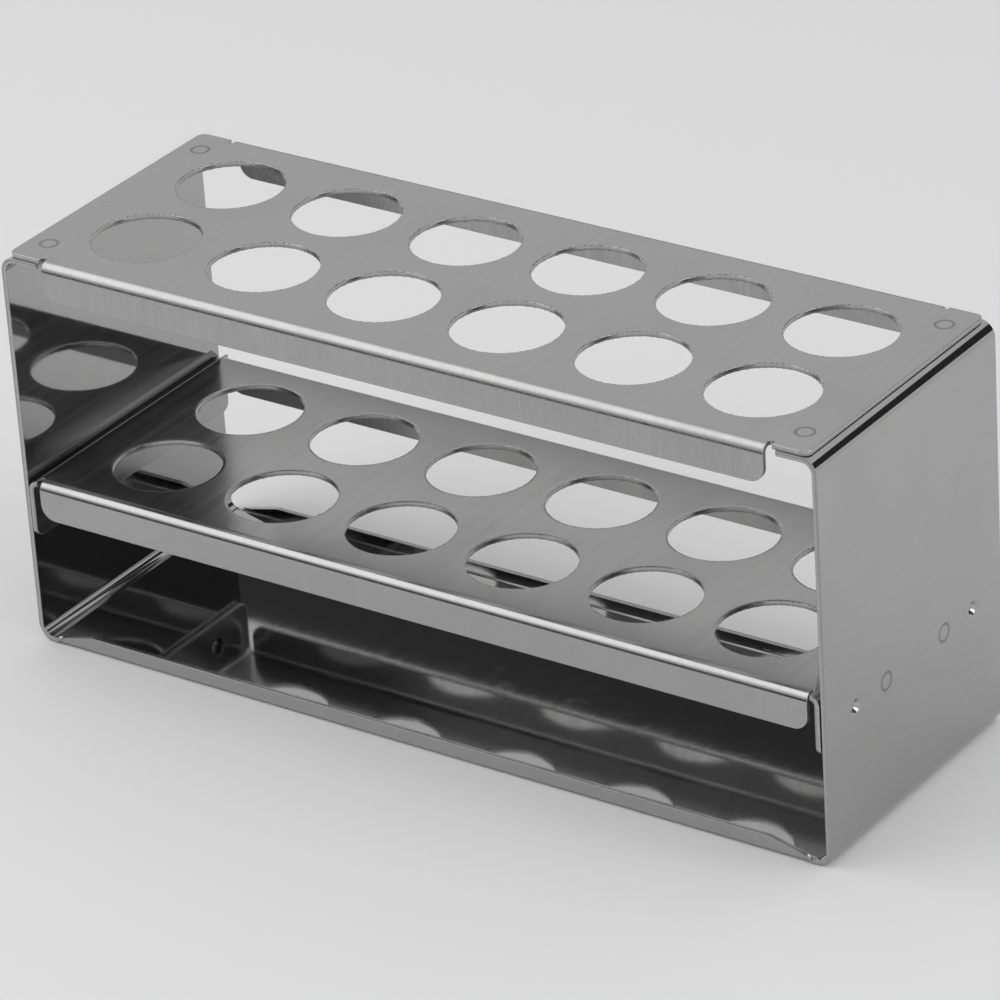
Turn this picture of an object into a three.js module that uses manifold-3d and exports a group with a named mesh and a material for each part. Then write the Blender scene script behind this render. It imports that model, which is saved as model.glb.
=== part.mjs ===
// Test tube rack of bent stainless steel sheet: a frame, a top plate and a shelf, joined by spot welds.
// Millimetres, +Z up. X runs along the length, -Y is the front, and the origin is on the surface
// that the rack stands on, under its centre.
import * as THREE from "three";
import { mergeVertices } from "three/addons/utils/BufferGeometryUtils.js";
import Module from "manifold-3d";

const wasm = await Module();
wasm.setup();

// ---- Driving dimensions ----
const length = 263;
const depth = 90;
const height = 122;
const sheet = 1.5;

const holeDiameter = 31;
const holePitchX = 40;
const holePitchY = 39;
const holesAlong = 6;
const holesAcross = 2;

const wallBend = 4.5; // outside radius of the frame's bends
const frameFlange = 12.5; // from the wall's outer face to the end of the flange under the top plate
const lipHeight = 5;
const lipBend = 2;
const lipTaper = 14.5; // how far each end of a lip slopes down
const cornerRelief = 0.5; // how far the base's corners stand back from the walls' edges

const plateDepth = 92.5; // the top plate, over its flanges
const tabDepth = 89; // the top plate's flat ends, beside the flanges
const shelfDepth = 90.5; // the shelf, over its flanges
const plateBend = 3; // outside radius of the top plate's and the shelf's bends
const flangeHeight = 11.3; // from the upper surface to the flange's lower edge
const flangeCorner = 4.5;

const topPlateLength = 257.6;
const topFlangeLength = 232.8;
const topNotch = 1.6; // width of the relief notch at each end of a flange
const topNotchDepth = 0.8; // how far it reaches in past the start of the bend
const topCorner = 2.5;

const shelfBelowTop = 70.5; // from the top plate's upper surface to the shelf's
const wallGap = 0.3; // between the shelf's side flanges and the walls
const shelfFlangeLength = 252;
const shelfNotch = 0.8;
const sideFlangeHeight = 18;
const sideFlangeCorner = 3;

const dimpleY = 30;
const dimpleOuter = 5;
const dimpleTip = 3.2;
const dimpleRecess = 1.4;
const dimpleBoss = 1.2;
const dimpleHole = 5.8; // hole in the shelf's side flange that the boss sits in

const nuggetDiameter = 4.4;
const nuggetBite = 0.7; // how deep a nugget reaches into each of its two sheets
const markOuter = 5.5; // ring that the welding electrode leaves on the outer surface
const markInner = 4.5;
const markDepth = 0.15;
const topWeld = { x: 122.1, y: 34.8 };
const sideWeldY = 14.8;

const bendSteps = 8;
const holeSteps = 48;
const smallSteps = 20;
const past = 5; // how far a cutter runs past the surface it cuts

// ---- Derived dimensions ----
const wallOuter = length / 2;
const wallInner = wallOuter - sheet;
const frameTop = height - sheet;
const shelfTop = height - shelfBelowTop;
const shelfHalf = wallInner - wallGap;
const sideJointZ = shelfTop - 9.7; // height of the welds and dimples in each wall

// ---- Solids ----
const alongX = new THREE.Matrix4().set(0, 0, 1, 0, 1, 0, 0, 0, 0, 1, 0, 0, 0, 0, 0, 1);
const alongY = new THREE.Matrix4().set(1, 0, 0, 0, 0, 0, -1, 0, 0, 1, 0, 0, 0, 0, 0, 1);
const alongZ = new THREE.Matrix4();

function solid(geometry) {
  const bare = geometry.clone();
  bare.deleteAttribute("normal");
  bare.deleteAttribute("uv");
  const merged = mergeVertices(bare);
  return new wasm.Manifold(
    new wasm.Mesh({
      numProp: 3,
      vertProperties: merged.attributes.position.array,
      triVerts: new Uint32Array(merged.index.array),
    }),
  );
}

// An outline extruded over a length that is centred on the origin. Along X the outline's own axes
// are Y and Z, along Y they are X and Z, and along Z they are X and Y.
function extruded(points, span, axis) {
  const outline = new THREE.Shape(points);
  const geometry = new THREE.ExtrudeGeometry(outline, { depth: span, bevelEnabled: false });
  return solid(geometry.translate(0, 0, -span / 2).applyMatrix4(axis));
}

function box(x0, x1, y0, y1, z0, z1) {
  const geometry = new THREE.BoxGeometry(x1 - x0, y1 - y0, z1 - z0);
  return solid(geometry.translate((x0 + x1) / 2, (y0 + y1) / 2, (z0 + z1) / 2));
}

// A disc or cone on the Z axis, from z0 to z1.
function round(diameter0, diameter1, z0, z1, steps) {
  const geometry = new THREE.CylinderGeometry(diameter1 / 2, diameter0 / 2, z1 - z0, steps);
  return solid(geometry.rotateX(Math.PI / 2).translate(0, 0, (z0 + z1) / 2));
}

function joined(solids) {
  return solids.reduce((all, one) => all.add(one));
}

// ---- Outlines ----
const corner = (x, y) => new THREE.Vector2(x, y);

// A line through right-angled corners, each of its own radius; the first and last points stay sharp.
function rounded(corners, radii) {
  const line = [corners[0].clone()];
  for (let i = 1; i < corners.length - 1; i++) {
    const into = corners[i].clone().sub(corners[i - 1]).normalize();
    const out = corners[i + 1].clone().sub(corners[i]).normalize();
    const radius = radii[i - 1];
    const centre = corners[i].clone().addScaledVector(into, -radius).addScaledVector(out, radius);
    for (let k = 0; k <= bendSteps; k++) {
      const turn = (k / bendSteps) * (Math.PI / 2);
      line.push(
        centre
          .clone()
          .addScaledVector(out, -radius * Math.cos(turn))
          .addScaledVector(into, radius * Math.sin(turn)),
      );
    }
  }
  line.push(corners[corners.length - 1].clone());
  return line;
}

// The section of a bent sheet: its outer line, and its inner line one sheet thickness inside.
function section(outer, inner, bend) {
  const bends = outer.slice(2);
  return [
    ...rounded(outer, bends.map(() => bend)),
    ...rounded(inner, bends.map(() => bend - sheet)).reverse(),
  ];
}

// A sheet that turns down at both ends: half is its outer half-width, top and low its heights.
function channel(half, top, low, bend) {
  const inside = half - sheet;
  const under = top - sheet;
  return section(
    [corner(-half, low), corner(-half, top), corner(half, top), corner(half, low)],
    [corner(-inside, low), corner(-inside, under), corner(inside, under), corner(inside, low)],
    bend,
  );
}

// A rectangle from (-half, low) to (half, high) whose two lower corners are rounded.
function tongue(half, low, high, radius) {
  return rounded(
    [corner(-half, high), corner(-half, low), corner(half, low), corner(half, high)],
    [radius, radius],
  );
}

function roundedRectangle(halfX, halfY, radius) {
  return rounded(
    [
      corner(0, halfY),
      corner(-halfX, halfY),
      corner(-halfX, -halfY),
      corner(halfX, -halfY),
      corner(halfX, halfY),
      corner(0, halfY),
    ],
    [radius, radius, radius, radius],
  ).slice(0, -1);
}

// ---- Repeated features ----
const both = [-1, 1];

function at(shape, x, y, z) {
  return shape.translate([x, y, z]);
}

// A shape made for the right wall on the Z axis, with +Z pointing out of the wall, laid on a wall.
function onWall(shape, side, y, z) {
  return shape.rotate([0, 90 * side, 0]).translate([side * wallOuter, y, z]);
}

function mark() {
  const outer = round(markOuter, markOuter, -markDepth, past, smallSteps);
  return outer.subtract(round(markInner, markInner, -past, 2 * past, smallSteps));
}

// Both nuggets are centred on the face where their two sheets meet, which is the local z = 0.
function topNugget() {
  return round(nuggetDiameter, nuggetDiameter, -nuggetBite, nuggetBite, smallSteps);
}

// The wall's inner face is at the local z = -sheet, and the side flange starts wallGap below it.
function sideNugget() {
  const low = -sheet - wallGap - nuggetBite;
  return round(nuggetDiameter, nuggetDiameter, low, -sheet + nuggetBite, smallSteps);
}

const topWelds = both.flatMap((side) =>
  both.map((end) => ({
    name: `weld_top_${end < 0 ? "front" : "back"}_${side < 0 ? "left" : "right"}`,
    x: side * topWeld.x,
    y: end * topWeld.y,
  })),
);

const sideJoints = both.flatMap((side) => both.map((end) => ({ side, end })));

const sideWelds = sideJoints.map(({ side, end }) => ({
  name: `weld_shelf_${end < 0 ? "front" : "back"}_${side < 0 ? "left" : "right"}`,
  side,
  y: end * sideWeldY,
}));

const topNuggets = topWelds.map((weld) => at(topNugget(), weld.x, weld.y, frameTop));
const sideNuggets = sideWelds.map((weld) => onWall(sideNugget(), weld.side, weld.y, sideJointZ));

function tubeHoles(z0, z1) {
  const holes = [];
  for (let row = 0; row < holesAcross; row++) {
    for (let place = 0; place < holesAlong; place++) {
      const x = (place - (holesAlong - 1) / 2) * holePitchX;
      const y = (row - (holesAcross - 1) / 2) * holePitchY;
      holes.push(at(round(holeDiameter, holeDiameter, z0, z1, holeSteps), x, y, 0));
    }
  }
  return joined(holes);
}

// ---- Frame: base, two walls and the flanges that carry the top plate, bent from one sheet ----
function frameStrip() {
  const end = wallOuter - frameFlange;
  const outer = [
    corner(end, frameTop),
    corner(wallOuter, frameTop),
    corner(wallOuter, 0),
    corner(-wallOuter, 0),
    corner(-wallOuter, frameTop),
    corner(-end, frameTop),
  ];
  const under = frameTop - sheet;
  const inner = [
    corner(end, under),
    corner(wallInner, under),
    corner(wallInner, sheet),
    corner(-wallInner, sheet),
    corner(-wallInner, under),
    corner(-end, under),
  ];
  return extruded(section(outer, inner, wallBend), depth, alongY);
}

// The front lip, with sloping ends; the back lip is its mirror image.
function lip(end) {
  const edge = (end * depth) / 2;
  const inside = edge - end * sheet;
  const root = edge - end * 2 * lipBend;
  const turnedUp = section(
    [corner(root, 0), corner(edge, 0), corner(edge, lipHeight)],
    [corner(root, sheet), corner(inside, sheet), corner(inside, lipHeight)],
    lipBend,
  );
  const half = wallOuter - wallBend;
  const slope = [
    corner(-half, -past),
    corner(half, -past),
    corner(half, sheet),
    corner(half - lipTaper, lipHeight),
    corner(-half + lipTaper, lipHeight),
    corner(-half, sheet),
  ];
  const profile = end < 0 ? turnedUp.reverse() : turnedUp;
  return extruded(profile, 2 * half, alongX).intersect(extruded(slope, depth + past, alongY));
}

// The base's square edge makes way for the lip's bend, and its corners stand back a little.
function lipSeat(end) {
  const half = wallOuter - wallBend;
  const edge = (end * depth) / 2;
  const seat = [edge - end * lipBend, edge + end * past].sort((a, b) => a - b);
  const relief = [edge - end * cornerRelief, edge + end * past].sort((a, b) => a - b);
  const seats = [box(-half, half, ...seat, -past, sheet + 0.1)];
  both.forEach((side) => {
    const cornerX = [side * half, side * (wallOuter + past)].sort((a, b) => a - b);
    seats.push(box(...cornerX, ...relief, -past, wallBend));
  });
  return joined(seats);
}

function frame() {
  const recess = round(dimpleTip, dimpleOuter, -dimpleRecess, 0, smallSteps)
    .add(round(dimpleOuter, dimpleOuter, 0, past, smallSteps));
  const boss = round(dimpleTip, dimpleOuter, -sheet - dimpleBoss, -sheet / 2, smallSteps);
  let shape = frameStrip();
  both.forEach((end) => {
    shape = shape.subtract(lipSeat(end)).add(lip(end));
  });
  sideJoints.forEach(({ side, end }) => {
    shape = shape.add(onWall(boss, side, end * dimpleY, sideJointZ));
    shape = shape.subtract(onWall(recess, side, end * dimpleY, sideJointZ));
  });
  sideWelds.forEach((weld) => {
    shape = shape.subtract(onWall(mark(), weld.side, weld.y, sideJointZ));
  });
  [...topNuggets, ...sideNuggets].forEach((nugget) => {
    shape = shape.subtract(nugget);
  });
  return shape;
}

// ---- Top plate: the front and back edges turn down between two flat ends ----
function topPlate() {
  const halfFlange = topFlangeLength / 2;
  const low = height - flangeHeight;
  const turned = extruded(channel(plateDepth / 2, height, low, plateBend), topFlangeLength, alongX)
    .intersect(extruded(tongue(halfFlange, low, height + past, flangeCorner), 2 * depth, alongY));
  const flat = extruded(
    roundedRectangle(topPlateLength / 2, tabDepth / 2, topCorner), sheet, alongZ);
  const notchStart = plateDepth / 2 - plateBend - topNotchDepth;
  const notch = tongue(halfFlange + topNotch, notchStart, depth, topNotch / 2);
  const notches = extruded(notch, 4 * sheet, alongZ);
  const ends = flat.subtract(notches).subtract(notches.rotate([0, 0, 180]));
  let shape = at(ends, 0, 0, height - sheet / 2).add(turned);
  shape = shape.subtract(tubeHoles(low, height + past));
  topWelds.forEach((weld) => {
    shape = shape.subtract(at(mark(), weld.x, weld.y, height));
  });
  topNuggets.forEach((nugget) => {
    shape = shape.subtract(nugget);
  });
  return shape;
}

// ---- Shelf: all four edges turn down, and its side flanges are welded to the walls ----
function shelf() {
  const halfFlange = shelfFlangeLength / 2;
  const low = shelfTop - flangeHeight;
  const sideLow = shelfTop - sideFlangeHeight;
  const sides = extruded(channel(shelfHalf, shelfTop, sideLow, plateBend), shelfDepth, alongY)
    .intersect(extruded(
      tongue(shelfDepth / 2, sideLow, shelfTop + past, sideFlangeCorner), length, alongX));
  const notchHalf = halfFlange + shelfNotch;
  const notchStart = shelfDepth / 2 - plateBend;
  const notches = both.map((end) => {
    const reach = [end * notchStart, end * depth].sort((a, b) => a - b);
    return box(-notchHalf, notchHalf, ...reach, low, shelfTop + past);
  });
  const turned = extruded(channel(shelfDepth / 2, shelfTop, low, plateBend), shelfFlangeLength, alongX)
    .intersect(extruded(tongue(halfFlange, low, shelfTop + past, flangeCorner), 2 * depth, alongY));
  let shape = sides.subtract(joined(notches)).add(turned);
  shape = shape.subtract(tubeHoles(low, shelfTop + past));
  sideJoints.forEach(({ side, end }) => {
    const hole = round(dimpleHole, dimpleHole, -2 * past, 0, smallSteps);
    shape = shape.subtract(onWall(hole, side, end * dimpleY, sideJointZ));
  });
  sideNuggets.forEach((nugget) => {
    shape = shape.subtract(nugget);
  });
  return shape;
}

// ---- Scene graph ----
const rack = new THREE.Group();

function add(name, shape, colour, roughness) {
  const made = shape.getMesh();
  const geometry = new THREE.BufferGeometry();
  geometry.setAttribute("position", new THREE.BufferAttribute(new Float32Array(made.vertProperties), 3));
  geometry.setIndex(new THREE.BufferAttribute(new Uint32Array(made.triVerts), 1));
  geometry.computeVertexNormals();
  const material = new THREE.MeshStandardMaterial({ color: colour, roughness, metalness: 1 });
  const mesh = new THREE.Mesh(geometry, material);
  mesh.name = name;
  rack.add(mesh);
}

add("frame", frame(), 0xb4b4b2, 0.25);
add("top_plate", topPlate(), 0xb8b8b6, 0.32);
add("shelf", shelf(), 0xb2b2b0, 0.3);
topWelds.forEach((weld, i) => add(weld.name, topNuggets[i], 0x8e8c88, 0.5));
sideWelds.forEach((weld, i) => add(weld.name, sideNuggets[i], 0x8e8c88, 0.5));

export default rack;
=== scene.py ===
import math

import bpy
import numpy as np
from mathutils import Matrix, Vector, geometry


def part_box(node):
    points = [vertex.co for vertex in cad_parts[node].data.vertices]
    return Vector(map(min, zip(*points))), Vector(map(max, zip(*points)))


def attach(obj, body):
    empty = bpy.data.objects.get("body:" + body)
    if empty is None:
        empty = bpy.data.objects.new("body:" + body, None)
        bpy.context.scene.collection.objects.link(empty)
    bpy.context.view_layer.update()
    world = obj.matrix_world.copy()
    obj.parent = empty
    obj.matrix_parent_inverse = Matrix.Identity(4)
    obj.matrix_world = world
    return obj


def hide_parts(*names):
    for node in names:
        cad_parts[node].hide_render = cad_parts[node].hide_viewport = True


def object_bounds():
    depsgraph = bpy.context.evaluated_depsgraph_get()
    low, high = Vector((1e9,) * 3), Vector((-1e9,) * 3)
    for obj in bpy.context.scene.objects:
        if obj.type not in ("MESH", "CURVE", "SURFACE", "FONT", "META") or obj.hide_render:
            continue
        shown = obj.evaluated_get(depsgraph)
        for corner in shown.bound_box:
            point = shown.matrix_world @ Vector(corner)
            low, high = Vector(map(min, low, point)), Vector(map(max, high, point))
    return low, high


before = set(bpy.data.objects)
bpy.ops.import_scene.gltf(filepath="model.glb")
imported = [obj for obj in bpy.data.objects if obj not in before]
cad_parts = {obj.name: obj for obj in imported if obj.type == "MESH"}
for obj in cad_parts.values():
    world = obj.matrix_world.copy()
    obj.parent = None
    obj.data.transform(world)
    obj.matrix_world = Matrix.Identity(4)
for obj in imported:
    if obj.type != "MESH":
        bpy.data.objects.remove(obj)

cad_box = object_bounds()
MM = 0.001

# ---- Driving dimensions, in millimetres ----
SHEET = 1.5
EDGE_RADIUS = 0.22  # the deburred edges of every sheet
HOLE_DIAMETER = 31.0
HOLE_PITCH_X = 40.0
HOLE_PITCH_Y = 39.0
HOLES_ALONG = 6
HOLES_ACROSS = 2

WALL_BEND = 4.5  # outside radius
FRAME_FLANGE = 12.5
LIP_HEIGHT = 5.0
LIP_BEND = 2.0
LIP_TAPER = 14.5
LIP_FADE = 5.0  # the stretch at each end over which a lip flattens into the base
CORNER_RELIEF = 0.5
RELIEF_RUN = 1.2  # the length over which the relief cuts in
FRAME_CORNER = 1.0
LIP_FOOT = 4.0  # radii at the two ends of a lip's taper
LIP_SHOULDER = 6.0

PLATE_BEND = 3.0
FLANGE_HEIGHT = 11.3
FLANGE_CORNER = 4.5
TAB_DEPTH = 89.0
TOP_FLANGE_LENGTH = 232.8
TOP_NOTCH = 1.6
TOP_NOTCH_DEPTH = 0.8
TOP_CORNER = 2.5
SHELF_FLANGE_LENGTH = 252.0
SHELF_NOTCH = 0.8
SIDE_FLANGE_HEIGHT = 18.0
SIDE_FLANGE_CORNER = 3.0

WELD_X = 122.1
WELD_Y = 34.8
SIDE_WELD_Y = 14.8
JOINT_BELOW_SHELF = 9.7
DIMPLE_Y = 30.0
DIMPLE_HOLE = 5.8
DIMPLE_DEPTH = 1.4
BOSS_HEIGHT = 1.2
RING_RADIUS = 2.5
RING_WIDTH = 0.3
RING_DEPTH = 0.045
RING_SINK = 0.015  # how far the face inside a ring is pressed in
PUNCH_DRAW = 0.09  # how far a punch draws a hole's rim down
PUNCH_REACH = 0.9

SMALL_FILLET = 0.35
ARC_STEPS = 8
BEND_STEPS = 14
HOLE_STEPS = 120
MARK_STEPS = 40
MARK_MARGIN = 0.2  # how far past its last line a mark still shapes the face


def high_corner(node):
    """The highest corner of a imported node's box, in millimetres."""
    return np.array(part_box(node)[1]) / MM


frame_high = high_corner("frame")
plate_high = high_corner("top_plate")
shelf_high = high_corner("shelf")


# ---- Flat outlines ----
def arc(centre, radius, start, stop, steps=ARC_STEPS):
    """Points on an arc between two angles in degrees."""
    angles = np.radians(np.linspace(start, stop, steps + 1))
    return [(centre[0] + radius * math.cos(a), centre[1] + radius * math.sin(a)) for a in angles]


def circle(centre, radius, steps):
    return arc(centre, radius, 0, 360 * (1 - 1 / steps), steps - 1)


def filleted(corners, radii):
    """A line through corners with each inner corner rounded by its own radius."""
    line = [corners[0]]
    for before, corner, after, radius in zip(corners, corners[1:], corners[2:], radii):
        corner = np.array(corner, float)
        back = np.array(before, float) - corner
        ahead = np.array(after, float) - corner
        back /= np.linalg.norm(back)
        ahead /= np.linalg.norm(ahead)
        half = math.acos(np.clip(back @ ahead, -1, 1)) / 2
        middle = (back + ahead) / np.linalg.norm(back + ahead)
        centre = corner + middle * radius / math.sin(half)
        first = corner + back * radius / math.tan(half) - centre
        last = corner + ahead * radius / math.tan(half) - centre
        sweep = math.atan2(first[0] * last[1] - first[1] * last[0], first @ last)
        for turn in np.linspace(0, sweep, ARC_STEPS + 1):
            spin = np.array([[math.cos(turn), -math.sin(turn)], [math.sin(turn), math.cos(turn)]])
            line.append(tuple(centre + spin @ first))
    line.append(corners[-1])
    return line


def four_fold(quarter):
    """A closed outline from its first quarter, which runs from the u axis to the v axis."""
    half = quarter + [(-u, v) for u, v in reversed(quarter)]
    return half + [(-u, -v) for u, v in half]


def tube_centres():
    return [
        ((i - (HOLES_ALONG - 1) / 2) * HOLE_PITCH_X, (j - (HOLES_ACROSS - 1) / 2) * HOLE_PITCH_Y)
        for j in range(HOLES_ACROSS)
        for i in range(HOLES_ALONG)
    ]


def four_corners(u, v):
    return [(a * u, b * v) for a in (-1, 1) for b in (-1, 1)]


# ---- Pressed marks: height of each face as a function of the distance from the mark's centre ----
def smooth(low, high, value):
    share = np.clip((value - low) / (high - low), 0, 1)
    return share * share * (3 - 2 * share)


def electrode_ring(reach):
    """The shallow groove round a spot weld, and the slightly sunken face inside it."""
    groove = np.exp(-(((reach - RING_RADIUS) / RING_WIDTH) ** 2))
    return -RING_DEPTH * groove - RING_SINK * (1 - smooth(2.2, 2.8, reach))


def dimple(reach):
    return -DIMPLE_DEPTH * (1 - smooth(0.5, 2.5, reach))


def boss(reach):
    """The bump that a dimple raises on the sheet's other face."""
    return BOSS_HEIGHT * (1 - smooth(1.2, 2.6, reach))


def punched(reach):
    """The metal that a punch draws down just round its hole."""
    edge = HOLE_DIAMETER / 2
    return -PUNCH_DRAW * (1 - smooth(edge, edge + PUNCH_REACH, reach)) ** 2


RING_LINES = (1.8, 2.05, 2.2, 2.3, 2.4, 2.5, 2.6, 2.7, 2.8, 2.95, 3.2)
DIMPLE_LINES = (0.5, 0.9, 1.2, 1.45, 1.7, 1.95, 2.2, 2.4, 2.6, 2.8)
PUNCH_LINES = tuple(HOLE_DIAMETER / 2 + step for step in (0.25, 0.45, 0.7, 0.95))


class Mark:
    """A round mark: upper and lower give how far each face rises at a distance from the centre."""

    def __init__(self, centre, lines, steps, upper=None, lower=None):
        self.centre, self.lines, self.steps = np.array(centre, float), lines, steps
        self.upper, self.lower = upper, lower


# ---- Blanks ----
def inside(loop, points):
    """Which points lie inside a closed loop."""
    ends = np.roll(loop, -1, axis=0)
    found = np.zeros(len(points), bool)
    for (u0, v0), (u1, v1) in zip(loop, ends):
        crosses = (points[:, 1] < v0) != (points[:, 1] < v1)
        at = u0 + (points[:, 1] - v0) * (u1 - u0) / ((v1 - v0) or 1)
        found ^= crosses & (points[:, 0] < at)
    return found


def triangulated(outline, holes, marks, creases):
    """The blank's flat points and triangles, with edges along every hole, mark and crease."""
    points, edges = [], []

    def add(line, closed):
        start = len(points)
        points.extend(Vector(p) for p in line)
        edges.extend((start + i, start + i + 1) for i in range(len(line) - 1))
        if closed:
            edges.append((start + len(line) - 1, start))

    add(outline, True)
    for centre, radius, steps in holes:
        add(circle(centre, radius, steps), True)
    for mark in marks:
        for radius in mark.lines:
            add(circle(mark.centre, radius, mark.steps), True)
    for crease in creases:
        add(crease, False)
    made = geometry.delaunay_2d_cdt(points, edges, [], 0, 1e-5)
    flat = np.array([tuple(p) for p in made[0]])
    faces = np.array([tuple(f) for f in made[2]])
    middles = flat[faces].mean(axis=1)
    kept = inside(np.array(outline), middles)
    for centre, radius, _ in holes:
        kept &= np.hypot(*(middles - centre).T) > radius * math.cos(math.pi / HOLE_STEPS) - 0.01
    faces = faces[kept]
    a, b, c = (flat[faces[:, i]] for i in range(3))
    turn = (b - a)[:, 0] * (c - a)[:, 1] - (b - a)[:, 1] * (c - a)[:, 0]
    faces[turn < 0] = faces[turn < 0][:, ::-1]
    return flat, faces[np.abs(turn) > 1e-9]


def boundary(faces):
    """The outer edges of the triangles, as pairs of points with the material on their left."""
    pairs = {(int(f[i]), int(f[(i + 1) % 3])) for f in faces for i in range(3)}
    return sorted(p for p in pairs if (p[1], p[0]) not in pairs)


def outward(flat, edges):
    """How far each point on the boundary moves, per unit of offset, to move its edges outwards."""
    total = np.zeros_like(flat)
    for a, b in edges:
        along = flat[b] - flat[a]
        side = np.array([along[1], -along[0]]) / np.linalg.norm(along)
        total[a] += side
        total[b] += side
    length = (total**2).sum(axis=1)
    length[length == 0] = 1
    return 2 * total / length[:, None]


def faces_height(flat, marks, side):
    """How far one face rises above its plain surface, at each flat point."""
    height = np.zeros(len(flat))
    for mark in marks:
        shape = mark.upper if side > 0 else mark.lower
        if shape is None:
            continue
        reach = np.hypot(*(flat - mark.centre).T)
        near = reach < max(mark.lines) + MARK_MARGIN
        height[near] += shape(reach[near])
    return height


def sheet_piece(name, outline, fold, holes=(), marks=(), creases=()):
    """A mesh of a blank's two faces and its rounded edges, folded by fold(u, v, w) -> (x, y, z)."""
    flat, triangles = triangulated(outline, holes, marks, creases)
    used = np.unique(triangles)
    renumber = np.full(len(flat), -1)
    renumber[used] = np.arange(len(used))
    flat, triangles = flat[used], renumber[triangles]
    rim = boundary(triangles)
    move = outward(flat, rim)
    length = np.maximum(np.linalg.norm(move, axis=1), 1e-9)
    facing = move / length[:, None]
    half = SHEET / 2

    points, normals, faces, on_rim = [], [], [], []
    for side in (1, -1):
        at = flat - EDGE_RADIUS * move
        lift = faces_height(at, marks, side)
        step = 1e-3
        slope = [
            (faces_height(at + shift, marks, side) - faces_height(at - shift, marks, side)) / (2 * step)
            for shift in (np.array([step, 0]), np.array([0, step]))
        ]
        points.append(np.column_stack([at, side * half + side * lift]))
        normals.append(np.column_stack([-slope[0], -slope[1], np.full(len(at), float(side))]))
    count = len(flat)
    faces += [tuple(f) for f in triangles]
    faces += [tuple(count + i for i in f[::-1]) for f in triangles]
    on_rim += [False] * len(faces)

    ring = sorted({i for pair in rim for i in pair})
    slot = {i: n for n, i in enumerate(ring)}
    ring = np.array(ring)
    turns = np.radians([30, 60, 90])
    levels = [(1, t) for t in turns] + [(-1, t) for t in turns[::-1]]
    base = 2 * count
    top_lift = faces_height(flat - EDGE_RADIUS * move, marks, 1)[ring]
    low_lift = faces_height(flat - EDGE_RADIUS * move, marks, -1)[ring]
    for side, turn in levels:
        at = flat[ring] - EDGE_RADIUS * (1 - math.sin(turn)) * move[ring]
        lift = top_lift if side > 0 else low_lift
        rise = side * (half + lift - EDGE_RADIUS * (1 - math.cos(turn)))
        points.append(np.column_stack([at, rise]))
        out = facing[ring] * math.sin(turn)
        normals.append(np.column_stack([out, np.full(len(ring), side * math.cos(turn))]))
    rows = [lambda i: i]
    rows += [lambda i, n=n: base + n * len(ring) + slot[i] for n in range(len(levels))]
    rows += [lambda i: count + i]
    for upper, lower in zip(rows, rows[1:]):
        for a, b in rim:
            faces.append((upper(b), upper(a), lower(a), lower(b)))
            on_rim.append(True)

    blank = np.vstack(points)
    normal = np.vstack(normals)
    placed, turned = folded(fold, blank, normal)
    return mesh_piece(name, placed, faces, turned, blank, on_rim)


def folded(fold, blank, normal):
    """The folded places of a blank's points, and their normals carried through the same fold."""
    step = 2e-3
    placed = np.column_stack(fold(*blank.T))
    columns = []
    for axis in range(3):
        shift = np.zeros(3)
        shift[axis] = step
        ahead = np.column_stack(fold(*(blank + shift).T))
        behind = np.column_stack(fold(*(blank - shift).T))
        columns.append((ahead - behind) / (2 * step))
    jacobian = np.stack(columns, axis=2)
    turned = np.linalg.solve(np.transpose(jacobian, (0, 2, 1)), normal[:, :, None])[:, :, 0]
    return placed, turned / np.linalg.norm(turned, axis=1)[:, None]


def mesh_piece(name, placed, faces, normals, blank, on_rim):
    """The piece itself. Its attribute "blank" holds where each point lay in the flat sheet, in metres."""
    mesh = bpy.data.meshes.new(name)
    mesh.from_pydata((placed * MM).tolist(), [], [tuple(map(int, f)) for f in faces])
    mesh.polygons.foreach_set("use_smooth", [True] * len(mesh.polygons))
    mesh.polygons.foreach_set("material_index", [int(r) for r in on_rim])
    own = mesh.attributes.new("blank", "FLOAT_VECTOR", "POINT")
    own.data.foreach_set("vector", (blank * MM).astype(np.float32).ravel())
    mesh.validate()
    mesh.normals_split_custom_set_from_vertices([tuple(n) for n in normals])
    piece = bpy.data.objects.new(name, mesh)
    bpy.context.scene.collection.objects.link(piece)
    return piece


# ---- Folding ----
def bent(distance, rise, bends):
    """Carries points of a flat sheet round its bends. distance is how far they lie from where the sheet
    is held flat, and rise is how far above its middle surface. Each bend is (distance of its start,
    radius of the middle surface, angle upwards). Returns the new distance and height."""
    across, up = np.zeros_like(distance), np.zeros_like(distance)
    heading = np.zeros_like(distance)
    done = np.zeros_like(distance)
    for start, radius, angle in bends:
        straight = np.minimum(distance, start) - done
        straight = np.where(distance > done, straight, 0)
        across += straight * np.cos(heading)
        up += straight * np.sin(heading)
        way = np.sign(angle)
        turn = np.clip(distance - start, 0, radius * np.abs(angle)) / radius * way
        across += radius * way * (np.sin(heading + turn) - np.sin(heading))
        up -= radius * way * (np.cos(heading + turn) - np.cos(heading))
        heading = heading + turn
        done = start + radius * np.abs(angle)
    rest = np.maximum(distance - done, 0)
    across += rest * np.cos(heading)
    up += rest * np.sin(heading)
    return across - rise * np.sin(heading), up + rise * np.cos(heading)


RIGHT_ANGLE = math.pi / 2


def middle(outside_radius):
    return outside_radius - SHEET / 2


def bend_length(outside_radius):
    return middle(outside_radius) * RIGHT_ANGLE


def bend_lines(start, outside_radius):
    """Where to crease a blank so that its bend comes out round."""
    return start + np.linspace(0, bend_length(outside_radius), BEND_STEPS + 1)


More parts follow.
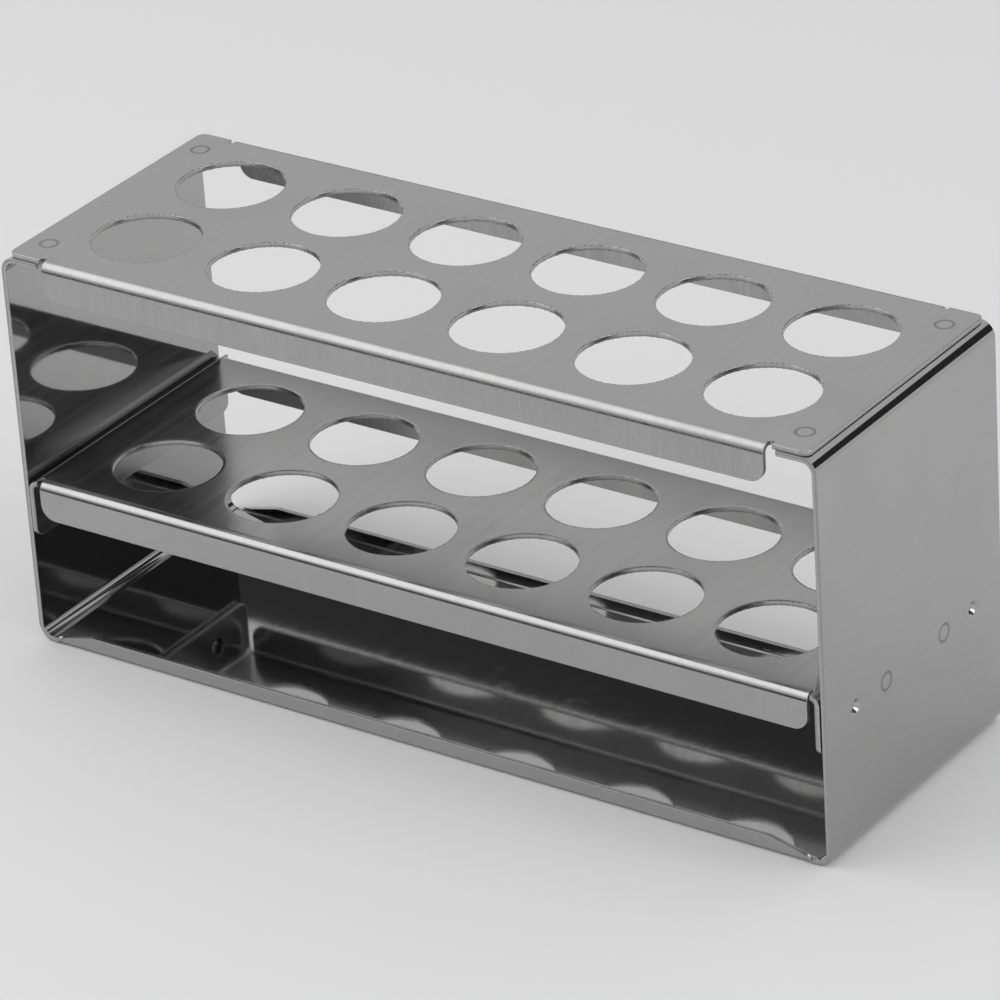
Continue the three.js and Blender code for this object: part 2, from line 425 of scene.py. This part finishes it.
# ---- Top plate ----
def top_plate():
    half_u = plate_high[0]
    half_v = plate_high[1]
    top = plate_high[2]
    flange_u = TOP_FLANGE_LENGTH / 2
    start = half_v - PLATE_BEND
    end = start + bend_length(PLATE_BEND) + FLANGE_HEIGHT - PLATE_BEND
    notch = TOP_NOTCH / 2
    gap = flange_u + notch
    tab_v = TAB_DEPTH / 2
    notch_v = start - TOP_NOTCH_DEPTH + notch

    def fold(u, v, w):
        turned = np.abs(u) < gap
        limit = np.where(turned, RIGHT_ANGLE, 0)
        across, up = bent(np.abs(v), w, [(start, middle(PLATE_BEND), -limit)])
        flat = ~turned
        return u, np.sign(v) * np.where(flat, np.abs(v), across), top - SHEET / 2 + np.where(flat, w, up)

    tab = filleted(
        [(half_u, 0), (half_u, tab_v), (flange_u + TOP_NOTCH, tab_v), (flange_u + TOP_NOTCH, notch_v)],
        [TOP_CORNER, SMALL_FILLET],
    )[1:]
    slot = arc((gap, notch_v), notch, 0, -180)
    flange = filleted([(flange_u, notch_v), (flange_u, end), (0, end)], [FLANGE_CORNER])[1:-1]
    outline = four_fold(tab[:-1] + slot + flange)
    creases = [
        [(-gap, s * line), (gap, s * line)]
        for line in bend_lines(start, PLATE_BEND)
        for s in (-1, 1)
    ]
    holes = [(centre, HOLE_DIAMETER / 2, HOLE_STEPS) for centre in tube_centres()]
    marks = [Mark(c, RING_LINES, MARK_STEPS, upper=electrode_ring) for c in four_corners(WELD_X, WELD_Y)]
    marks += [Mark(c, PUNCH_LINES, HOLE_STEPS, upper=punched) for c in tube_centres()]
    return sheet_piece("top_sheet", outline, fold, holes, marks, creases)


# ---- Shelf ----
def shelf():
    half_u = shelf_high[0]
    half_v = shelf_high[1]
    top = shelf_high[2]
    flange_u = SHELF_FLANGE_LENGTH / 2
    start_u = half_u - PLATE_BEND
    start_v = half_v - PLATE_BEND
    end_u = start_u + bend_length(PLATE_BEND) + SIDE_FLANGE_HEIGHT - PLATE_BEND
    end_v = start_v + bend_length(PLATE_BEND) + FLANGE_HEIGHT - PLATE_BEND
    notch = SHELF_NOTCH / 2
    notch_v = start_v + notch
    gap = flange_u + notch

    def fold(u, v, w):
        turned = np.abs(u) < gap
        limit = np.where(turned, -RIGHT_ANGLE, 0)
        along_v, drop_v = bent(np.abs(v), w, [(start_v, middle(PLATE_BEND), limit)])
        along_u, drop_u = bent(np.abs(u), w, [(start_u, middle(PLATE_BEND), -RIGHT_ANGLE)])
        x = np.where(turned, u, np.sign(u) * along_u)
        y = np.where(turned, np.sign(v) * along_v, v)
        return x, y, top - SHEET / 2 + np.where(turned, drop_v, drop_u)

    far_u = flange_u + SHELF_NOTCH
    side = filleted(
        [(end_u, 0), (end_u, half_v), (far_u, half_v), (far_u, notch_v)],
        [SIDE_FLANGE_CORNER, SMALL_FILLET],
    )[1:]
    slot = arc((gap, notch_v), notch, 0, -180)
    flange = filleted([(flange_u, notch_v), (flange_u, end_v), (0, end_v)], [FLANGE_CORNER])[1:-1]
    outline = four_fold(side[:-1] + slot + flange)
    creases = [
        [(-gap, s * line), (gap, s * line)]
        for line in bend_lines(start_v, PLATE_BEND)
        for s in (-1, 1)
    ]
    creases += [
        [(s * line, -half_v), (s * line, half_v)]
        for line in bend_lines(start_u, PLATE_BEND)
        for s in (-1, 1)
    ]
    holes = [(centre, HOLE_DIAMETER / 2, HOLE_STEPS) for centre in tube_centres()]
    joint_u = start_u + bend_length(PLATE_BEND) + JOINT_BELOW_SHELF - PLATE_BEND
    holes += [(centre, DIMPLE_HOLE / 2, MARK_STEPS) for centre in four_corners(joint_u, DIMPLE_Y)]
    marks = [Mark(c, PUNCH_LINES, HOLE_STEPS, upper=punched) for c in tube_centres()]
    return sheet_piece("shelf_sheet", outline, fold, holes, marks, creases)


# ---- Frame ----
def joint_line():
    """How far out in the flat frame sheet the walls' weld marks and dimples lie."""
    base_half = frame_high[0] - WALL_BEND
    up_the_wall = shelf_high[2] - JOINT_BELOW_SHELF - WALL_BEND
    return base_half + bend_length(WALL_BEND) + up_the_wall


def rack_frame():
    half_x = frame_high[0]
    half_v = frame_high[1]
    top = frame_high[2]
    base_half = half_x - WALL_BEND
    turn = bend_length(WALL_BEND)
    wall = top - 2 * WALL_BEND
    second = base_half + turn + wall
    end_u = second + turn + FRAME_FLANGE - WALL_BEND
    lip_start = half_v - LIP_BEND
    lip_end = lip_start + bend_length(LIP_BEND) + LIP_HEIGHT - LIP_BEND

    def fold(u, v, w):
        fade = 1 - smooth(base_half - LIP_FADE, base_half, np.abs(u))
        lip = [(lip_start, middle(LIP_BEND), RIGHT_ANGLE * fade)]
        y, rise = bent(np.abs(v), w, lip)
        on_base = np.abs(u) < base_half
        y = np.where(on_base, y, np.abs(v))
        rise = np.where(on_base, rise, w)
        radius = middle(WALL_BEND)
        x, z = bent(np.abs(u), rise, [(base_half, radius, RIGHT_ANGLE), (second, radius, RIGHT_ANGLE)])
        return np.sign(u) * x, np.sign(v) * y, SHEET / 2 + z

    corner_v = half_v - CORNER_RELIEF
    quarter = filleted(
        [
            (end_u, 0),
            (end_u, half_v),
            (base_half + turn, half_v),
            (base_half + turn - RELIEF_RUN, corner_v),
            (base_half, corner_v),
            (base_half - LIP_TAPER, lip_end),
            (0, lip_end),
        ],
        [FRAME_CORNER, FRAME_CORNER, FRAME_CORNER, LIP_FOOT, LIP_SHOULDER],
    )[1:-1]
    outline = four_fold(quarter)
    creases = [
        [(s * line, -half_v), (s * line, half_v)]
        for first in (base_half, second)
        for line in bend_lines(first, WALL_BEND)
        for s in (-1, 1)
    ]
    creases += [
        [(-base_half, s * line), (base_half, s * line)]
        for line in bend_lines(lip_start, LIP_BEND)
        for s in (-1, 1)
    ]
    creases += [
        [(s * line, t * lip_start), (s * line, t * lip_end)]
        for line in np.linspace(base_half - LIP_FADE, base_half, 9)
        for s in (-1, 1)
        for t in (-1, 1)
    ]
    joint_u = joint_line()
    marks = [
        Mark(c, RING_LINES, MARK_STEPS, lower=electrode_ring) for c in four_corners(joint_u, SIDE_WELD_Y)
    ]
    marks += [
        Mark(c, DIMPLE_LINES, MARK_STEPS, upper=boss, lower=dimple)
        for c in four_corners(joint_u, DIMPLE_Y)
    ]
    return sheet_piece("frame_sheet", outline, fold, (), marks, creases)


top_sheet = top_plate()
shelf_sheet = shelf()
frame_sheet = rack_frame()


# ---- Materials: heights of their relief, in metres ----
WAVE_HEIGHT = 0.00001
STREAK_HEIGHT = 0.000001
GRAIN_HEIGHT = 0.0000003
SCRATCH_DEPTH = 0.000001
TEAR_HEIGHT = 0.000006
SPATTER_HEIGHT = 0.00004


class Nodes:
    """A material's node tree, with a short way to add and link nodes."""

    def __init__(self, name):
        self.material = bpy.data.materials.new(name)
        self.material.use_nodes = True
        self.tree = self.material.node_tree
        self.shader = self.tree.nodes["Principled BSDF"]

    def add(self, kind, inputs=(), **settings):
        node = self.tree.nodes.new(kind)
        for key, value in settings.items():
            setattr(node, key, value)
        for socket, value in dict(inputs).items():
            if isinstance(value, bpy.types.NodeSocket):
                self.tree.links.new(value, node.inputs[socket])
            else:
                node.inputs[socket].default_value = value
        return node

    def place(self):
        """Where a point lay in the flat sheet, in metres."""
        return self.add("ShaderNodeAttribute", attribute_name="blank").outputs["Vector"]

    def stretched(self, vector, scale, turn=0.0):
        node = self.add("ShaderNodeMapping", {"Vector": vector, "Scale": scale, "Rotation": (0, 0, turn)})
        return node.outputs["Vector"]

    def noise(self, vector, scale, detail=2.0, roughness=0.5):
        inputs = {"Vector": vector, "Scale": scale, "Detail": detail, "Roughness": roughness}
        return self.add("ShaderNodeTexNoise", inputs).outputs["Fac"]

    def ramp(self, value, low, high, to_low=0.0, to_high=1.0):
        inputs = {"Value": value, "From Min": low, "From Max": high, "To Min": to_low, "To Max": to_high}
        return self.add("ShaderNodeMapRange", inputs, interpolation_type="SMOOTHSTEP").outputs["Result"]

    def maths(self, operation, a, b=0.0):
        return self.add("ShaderNodeMath", {0: a, 1: b}, operation=operation).outputs[0]

    def mixed(self, factor, a, b):
        node = self.add("ShaderNodeMix", data_type="RGBA")
        for socket, value in (("Factor", factor), ("A", a), ("B", b)):
            target = [i for i in node.inputs if i.name == socket and i.enabled][0]
            if isinstance(value, bpy.types.NodeSocket):
                self.tree.links.new(value, target)
            else:
                target.default_value = value
        return [o for o in node.outputs if o.enabled][0]

    def bump(self, height, distance, strength=1.0, normal=None):
        inputs = {"Height": height, "Distance": distance, "Strength": strength}
        if normal is not None:
            inputs["Normal"] = normal
        return self.add("ShaderNodeBump", inputs).outputs["Normal"]

    def join(self, output, socket):
        self.tree.links.new(output, self.shader.inputs[socket])


def grey(value):
    return (value, value, value * 0.995, 1)


def scratches(nodes, place, turn, across, along, rarity):
    """Thin lines, mostly absent: a streaked noise kept only where a coarser one allows it."""
    lines = nodes.noise(nodes.stretched(place, (along, across, along), turn), 1.0, 1.0)
    where = nodes.noise(nodes.stretched(place, (along * 3, along * 3, along * 3), turn + 0.7), 1.0, 2.0)
    thin = nodes.ramp(lines, 0.66, 0.72)
    return nodes.maths("MULTIPLY", thin, nodes.ramp(where, rarity, rarity + 0.12))


def tint_and_groove_shade(nodes, place, centre):
    """How strong the dark line round a spot weld's ring is, partly heat tint and partly painted shade of
    the electrode's groove:
    one on the line, nought away from it. The four corners are alike, so only the distances from the
    sheet's middle count."""
    split = nodes.add("ShaderNodeSeparateXYZ", {"Vector": place})
    squares = 0.0
    for axis, middle_of in zip("XY", centre):
        away = nodes.maths("SUBTRACT", nodes.maths("ABSOLUTE", split.outputs[axis]), middle_of * MM)
        squares = nodes.maths("ADD", squares, nodes.maths("MULTIPLY", away, away))
    off = nodes.maths("ABSOLUTE", nodes.maths("SUBTRACT", nodes.maths("SQRT", squares), RING_RADIUS * MM))
    return nodes.ramp(off, 0.15 * MM, 0.65 * MM, 1.0, 0.0)


def rolled_steel(name, shade, rough, grain_turn, wear=1.0, ring=None):
    """Cold-rolled stainless sheet: fine grain one way, soft clouding, faint scratches and smudges."""
    nodes = Nodes(name)
    place = nodes.place()
    grain = nodes.noise(nodes.stretched(place, (4200, 60, 4200), grain_turn), 1.0, 3.0, 0.6)
    broad = nodes.noise(nodes.stretched(place, (700, 14, 700), grain_turn), 1.0, 2.0)
    clouds = nodes.noise(place, 26.0, 3.0)
    waves = nodes.noise(place, 11.0, 1.0)
    lines = nodes.maths(
        "MAXIMUM",
        scratches(nodes, place, grain_turn + 0.35, 5200, 45, 0.56),
        scratches(nodes, place, grain_turn + 1.45, 4300, 38, 0.58),
    )
    smudge = nodes.ramp(nodes.noise(place, 60.0, 5.0, 0.7), 0.58, 0.74)

    tone = nodes.mixed(nodes.ramp(grain, 0.3, 0.7), grey(shade * 0.95), grey(shade * 1.03))
    tone = nodes.mixed(nodes.ramp(clouds, 0.35, 0.7, 0.0, 0.35), tone, grey(shade * 0.9))
    tone = nodes.mixed(nodes.maths("MULTIPLY", smudge, 0.16 * wear), tone, grey(shade * 0.7))
    tone = nodes.mixed(nodes.maths("MULTIPLY", lines, 0.3 * wear), tone, grey(shade * 0.72))
    # Painted shade: the weld rings' dark line is darkened into the colour, partly heat tint and partly
    # the groove's shade.
    if ring is not None:
        tint_and_shade = tint_and_groove_shade(nodes, place, ring)
        tone = nodes.mixed(nodes.maths("MULTIPLY", tint_and_shade, 0.75), tone, grey(shade * 0.4))
    nodes.join(tone, "Base Color")

    gloss = nodes.ramp(broad, 0.3, 0.7, rough * 0.88, rough * 1.12)
    gloss = nodes.maths("ADD", gloss, nodes.ramp(clouds, 0.4, 0.75, 0.0, rough * 0.2))
    gloss = nodes.maths("ADD", gloss, nodes.maths("MULTIPLY", smudge, 0.05 * wear))
    gloss = nodes.maths("ADD", gloss, nodes.maths("MULTIPLY", lines, 0.05 * wear))
    nodes.join(gloss, "Roughness")

    normal = nodes.bump(waves, WAVE_HEIGHT)
    normal = nodes.bump(broad, STREAK_HEIGHT, normal=normal)
    normal = nodes.bump(grain, GRAIN_HEIGHT, normal=normal)
    normal = nodes.bump(nodes.maths("MULTIPLY", lines, -1.0), SCRATCH_DEPTH, normal=normal)
    nodes.join(normal, "Normal")
    nodes.shader.inputs["Metallic"].default_value = 1.0
    return nodes.material


def cut_steel(name, shade, rough):
    """A sheared edge: streaks through the sheet's thickness, smooth by one face and torn by the other."""
    nodes = Nodes(name)
    place = nodes.place()
    streaks = nodes.noise(nodes.stretched(place, (2600, 2600, 260)), 1.0, 3.0, 0.6)
    depth = nodes.add("ShaderNodeSeparateXYZ", {"Vector": place}).outputs["Z"]
    wander = nodes.maths("MULTIPLY", nodes.noise(place, 420.0, 2.0), 0.0006)
    torn = nodes.ramp(nodes.maths("SUBTRACT", wander, depth), 0.0002, 0.0006)
    tone = nodes.mixed(nodes.ramp(streaks, 0.3, 0.7), grey(shade * 0.86), grey(shade * 1.1))
    tone = nodes.mixed(nodes.maths("MULTIPLY", torn, 0.5), tone, grey(shade * 0.72))
    nodes.join(tone, "Base Color")
    nodes.join(nodes.maths("ADD", rough, nodes.maths("MULTIPLY", torn, 0.18)), "Roughness")
    height = nodes.maths("MULTIPLY", streaks, nodes.ramp(torn, 0.0, 1.0, 0.4, 1.0))
    nodes.join(nodes.bump(height, TEAR_HEIGHT), "Normal")
    nodes.shader.inputs["Metallic"].default_value = 1.0
    return nodes.material


def weld_steel(name):
    """Once-molten metal: coarser, duller and a little browned."""
    nodes = Nodes(name)
    place = nodes.add("ShaderNodeTexCoord").outputs["Object"]
    grains = nodes.noise(place, 1800.0, 4.0, 0.6)
    tint = nodes.ramp(nodes.noise(place, 500.0, 2.0), 0.35, 0.65)
    tone = nodes.mixed(tint, (0.34, 0.325, 0.30, 1), (0.42, 0.41, 0.40, 1))
    nodes.join(tone, "Base Color")
    nodes.join(nodes.ramp(grains, 0.3, 0.7, 0.32, 0.5), "Roughness")
    nodes.join(nodes.bump(grains, SPATTER_HEIGHT), "Normal")
    nodes.shader.inputs["Metallic"].default_value = 1.0
    return nodes.material


ACROSS_DEPTH = 0.0  # the rolling grain runs from front to back
ALONG_LENGTH = RIGHT_ANGLE

edge_steel = cut_steel("cut_edge_steel", 0.46, 0.24)
wall_rings = (joint_line(), SIDE_WELD_Y)
plate_rings = (WELD_X, WELD_Y)
finishes = {
    "frame_sheet": rolled_steel("frame_rolled_steel", 0.45, 0.04, ACROSS_DEPTH, 0.7, wall_rings),
    "top_sheet": rolled_steel("plate_rolled_steel", 0.44, 0.26, ALONG_LENGTH, 0.8, plate_rings),
    "shelf_sheet": rolled_steel("shelf_rolled_steel", 0.43, 0.2, ALONG_LENGTH, 0.8),
}
welds = weld_steel("weld_steel")

for piece, node, slot in (
    (frame_sheet, "frame", "frame_steel"),
    (top_sheet, "top_plate", "plate_steel"),
    (shelf_sheet, "shelf", "shelf_steel"),
):
    piece.data.materials.append(finishes[piece.name])
    piece.data.materials.append(edge_steel)
    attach(piece, "root")
    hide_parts(node)

for name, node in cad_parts.items():
    if name.startswith("weld_"):
        node.data.materials.clear()
        node.data.materials.append(welds)


# ---- Studio ----
def plain(name, colour, rough):
    nodes = Nodes(name)
    nodes.shader.inputs["Base Color"].default_value = colour
    nodes.shader.inputs["Roughness"].default_value = rough
    return nodes.material


def floor(half_width):
    mesh = bpy.data.meshes.new("floor")
    corners = [(-1, -1), (1, -1), (1, 1), (-1, 1)]
    mesh.from_pydata([(half_width * a, half_width * b, 0) for a, b in corners], [], [(0, 1, 2, 3)])
    made = bpy.data.objects.new("floor", mesh)
    mesh.materials.append(plain("pale_floor", (0.82, 0.82, 0.82, 1), 0.9))
    bpy.context.scene.collection.objects.link(made)
    return made


def panel(name, place, aim, size):
    """A rectangle that faces a point. The camera doesn't see it and it casts no shadow."""
    mesh = bpy.data.meshes.new(name)
    corners = [(-1, -1), (1, -1), (1, 1), (-1, 1)]
    mesh.from_pydata([(size[0] / 2 * a, size[1] / 2 * b, 0) for a, b in corners], [], [(0, 1, 2, 3)])
    made = bpy.data.objects.new(name, mesh)
    made.location = place
    made.rotation_euler = (Vector(aim) - Vector(place)).to_track_quat("Z", "Y").to_euler()
    bpy.context.scene.collection.objects.link(made)
    made.visible_camera = False
    made.visible_shadow = False
    return made


def glowing(name, size, softness, radiance):
    """Light that is even in the middle of a panel and fades out towards its edges."""
    nodes = Nodes(name)
    place = nodes.add("ShaderNodeTexCoord").outputs["Object"]
    split = nodes.add("ShaderNodeSeparateXYZ", {"Vector": place})
    share = 1.0
    for axis, length in (("X", size[0]), ("Y", size[1])):
        inset = nodes.maths("SUBTRACT", length / 2, nodes.maths("ABSOLUTE", split.outputs[axis]))
        share = nodes.maths("MULTIPLY", share, nodes.ramp(inset, 0.0, softness))
    light = nodes.add("ShaderNodeEmission", {"Strength": nodes.maths("MULTIPLY", share, radiance)})
    clear = nodes.add("ShaderNodeBsdfTransparent")
    blend = nodes.add("ShaderNodeMixShader", {0: share, 1: clear.outputs[0], 2: light.outputs[0]})
    out = nodes.tree.nodes["Material Output"]
    nodes.tree.links.new(blend.outputs[0], out.inputs["Surface"])
    return nodes.material


def softbox(name, place, aim, size, softness, radiance):
    made = panel(name, place, aim, size)
    made.data.materials.append(glowing(name, size, softness, radiance))
    return made


def dark_card(name, place, aim, size):
    """A dark panel that only reflections see, for the steel to mirror."""
    made = panel(name, place, aim, size)
    made.visible_diffuse = False
    made.data.materials.append(plain(name, (0.03, 0.03, 0.03, 1), 0.9))
    return made


def surroundings(grey_level):
    world = bpy.data.worlds.new("studio")
    world.use_nodes = True
    back = world.node_tree.nodes["Background"]
    back.inputs["Color"].default_value = (grey_level, grey_level, grey_level, 1)
    back.inputs["Strength"].default_value = 1.0
    bpy.context.scene.world = world


centre = (Vector(cad_box[0]) + Vector(cad_box[1])) / 2
floor(1.6)
surroundings(0.70)
softbox("front_softbox", (-0.60, -0.42, 0.86), centre, (1.7, 1.7), 0.55, 1.75)
softbox("right_softbox", (0.95, 0.05, 0.62), centre, (1.1, 0.9), 0.35, 2.8)
dark_card("front_card", (-0.25, -0.40, 0.07), (-0.25, 0, 0.07), (1.1, 0.14))
dark_card("right_back_card", (0.36, 0.50, 0.32), centre, (0.50, 0.26))
dark_card("back_card", (-0.10, 0.196, 0.1275), (-0.10, 0, 0.1275), (0.46, 0.035))


# ---- Camera ----
CAMERA_AZIMUTH = 35.978
CAMERA_ELEVATION = 27.585
CAMERA_ROLL = -3.779
CAMERA_PLACE = (0.8607, -1.1858, 0.8216)
CAMERA_LENS = 217.4


def camera():
    data = bpy.data.cameras.new("camera")
    data.lens = CAMERA_LENS
    data.sensor_width = 36
    data.clip_start, data.clip_end = 0.05, 50
    made = bpy.data.objects.new("camera", data)
    tilt = Matrix.Rotation(math.radians(90 - CAMERA_ELEVATION), 4, "X")
    spin = Matrix.Rotation(math.radians(CAMERA_AZIMUTH), 4, "Z")
    roll = Matrix.Rotation(math.radians(CAMERA_ROLL), 4, "Z")
    made.matrix_world = Matrix.Translation(CAMERA_PLACE) @ spin @ tilt @ roll
    bpy.context.scene.collection.objects.link(made)
    bpy.context.scene.camera = made


camera()
bpy.context.scene.view_settings.view_transform = "Standard"
